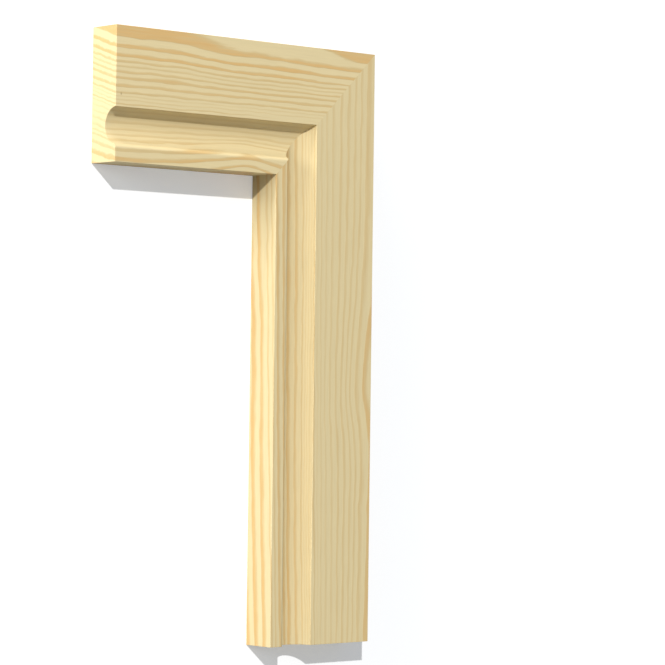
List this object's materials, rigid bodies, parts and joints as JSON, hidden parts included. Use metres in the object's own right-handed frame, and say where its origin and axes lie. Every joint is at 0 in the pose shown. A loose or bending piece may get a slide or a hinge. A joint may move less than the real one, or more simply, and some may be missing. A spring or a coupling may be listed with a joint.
{
  "type": "architrave moulding",
  "caption": "Mitred corner of grooved pine architrave: a jamb leg and a head cut from the same flat-backed moulding, trim for the edge of a door or window opening.",
  "frame": {"origin": "middle of the corner's outline, on the plane of its flat back", "axes": "+X along the head towards the mitre, +Y along the leg towards the mitre, +Z out of the moulded face"},
  "size_m": [0.178, 0.322, 0.02],
  "materials": {
    "pine": "planed and sanded bare pine, matt"
  },
  "bodies": {
    "root": {"architrave_leg": "pine", "architrave_head": "pine"}
  },
  "joints": []
}
